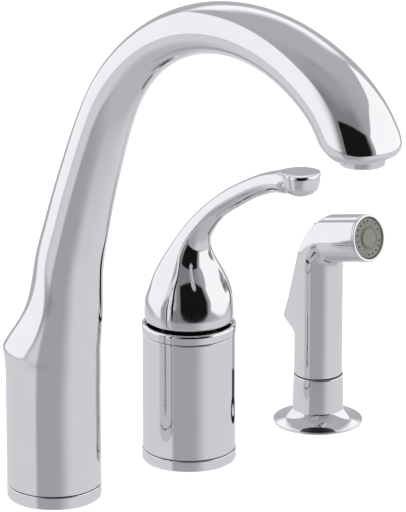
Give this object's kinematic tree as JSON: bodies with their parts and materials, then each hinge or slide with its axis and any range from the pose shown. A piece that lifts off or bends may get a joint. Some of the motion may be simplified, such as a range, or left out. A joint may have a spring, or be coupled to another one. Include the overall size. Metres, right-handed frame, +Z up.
{
  "type": "side spray kitchen faucet",
  "caption": "Chrome kitchen faucet set: a swivelling high-arc spout, a single lever mixing valve and a pull-out hand spray in its holder, on separate deck holes.",
  "frame": {"origin": "centre of the spout's deck hole, on the deck's top face", "axes": "+Z up, +X along the row of deck holes towards valve and hand spray, the user stands at -Y"},
  "size_m": [0.259, 0.2842, 0.4571],
  "materials": {
    "chrome": "polished chrome plate",
    "brass": "machined brass",
    "copper": "drawn copper tube",
    "steel": "stainless steel",
    "rubber": "matt black rubber",
    "white_plastic": "moulded acetal",
    "dark_plastic": "moulded black plastic",
    "ceramic": null,
    "grey_plastic": "moulded warm grey plastic"
  },
  "bodies": {
    "deck_parts": {"spout_base_ring": "chrome", "spout_deck_gasket": "rubber", "spout_bearing_washer": "dark_plastic", "spout_post": "brass", "spout_seal_rings": "rubber", "spout_snap_ring": "steel", "diverter_cage": "white_plastic", "spout_inlet_tube": "copper", "spray_feed_nipple": "brass", "deck_washers": "steel", "deck_nuts": "brass", "valve_base_ring": "chrome", "valve_deck_gasket": "rubber", "valve_cover": "chrome", "valve_trim_ring": "chrome", "valve_body": "brass", "outlet_tube": "copper", "hot_tube": "copper", "cold_tube": "copper", "bonnet_nut": "dark_plastic", "cartridge_housing": "white_plastic", "cartridge_seals": "rubber", "fixed_disc": "ceramic", "spray_holder": "chrome", "holder_gasket": "rubber", "holder_liner": "dark_plastic", "holder_washer": "steel", "holder_nut": "dark_plastic"},
    "spout": {"spout_shell": "chrome", "spout_lower_bush": "white_plastic", "spout_upper_bush": "white_plastic", "aerator_housing": "chrome", "aerator_screen": "steel", "aerator_insert": "white_plastic", "aerator_seal": "rubber"},
    "diverter": {"diverter_poppet": "white_plastic"},
    "carrier": {"cartridge_carrier": "white_plastic", "pivot_pin": "steel"},
    "disc": {"moving_disc": "ceramic", "disc_coupler": "white_plastic"},
    "handle": {"handle": "chrome", "handle_stem": "steel", "handle_set_screw": "steel", "handle_plug": "dark_plastic"},
    "coupling": {"hose_coupling": "brass"},
    "handset": {"spray_body": "chrome", "spray_bezel": "chrome", "spray_face": "grey_plastic", "spray_button": "grey_plastic", "lever_pin": "steel", "plunger_guide": "brass", "coupling_clip": "steel"},
    "lever": {"spray_lever": "chrome"},
    "plunger": {"valve_plunger": "steel", "plunger_seal": "rubber", "plunger_spring": "steel"}
  },
  "joints": [
    {"name": "spout_swivel", "type": "hinge", "parent": "deck_parts", "child": "spout", "pos_m": [0, 0, 0.04], "axis": [0, 0, 1], "continuous": true},
    {"name": "diverter_slide", "type": "slide", "parent": "deck_parts", "child": "diverter", "axis": [0, 0, 1], "range_m": [0, 0.003]},
    {"name": "handle_turn", "type": "hinge", "parent": "deck_parts", "child": "carrier", "pos_m": [0.1016, 0, 0.095], "axis": [0, 0, 1], "range_deg": [-54, 36]},
    {"name": "handle_lift", "type": "hinge", "parent": "carrier", "child": "handle", "pos_m": [0.1016, 0, 0.098], "axis": [-0.9869, -0.1616, 0], "range_deg": [0, 20]},
    {"name": "disc_slide", "type": "slide", "parent": "carrier", "child": "disc", "axis": [0.1616, -0.9869, 0], "range_m": [0, 0.0045]},
    {"name": "spray_lift", "type": "slide", "parent": "deck_parts", "child": "coupling", "axis": [0, 0, 1], "range_m": [0, 0.15]},
    {"name": "spray_turn", "type": "hinge", "parent": "coupling", "child": "handset", "pos_m": [0.2032, 0, 0.006], "axis": [0, 0, 1], "continuous": true},
    {"name": "lever_press", "type": "hinge", "parent": "handset", "child": "lever", "pos_m": [0.20352, -0.00197, 0.122], "axis": [-0.9869, -0.1616, 0], "range_deg": [0, 3.2], "stiffness_Nm_per_rad": 2, "springref_deg": -1.72},
    {"name": "plunger_slide", "type": "slide", "parent": "handset", "child": "plunger", "axis": [0.1616, -0.9869, 0], "range_m": [0, 0.0024]}
  ],
  "couplings": [
    {"joint": "disc_slide", "follows": "handle_lift", "m_per_rad": 0.01222},
    {"joint": "plunger_slide", "follows": "lever_press", "m_per_rad": 0.0392}
  ]
}
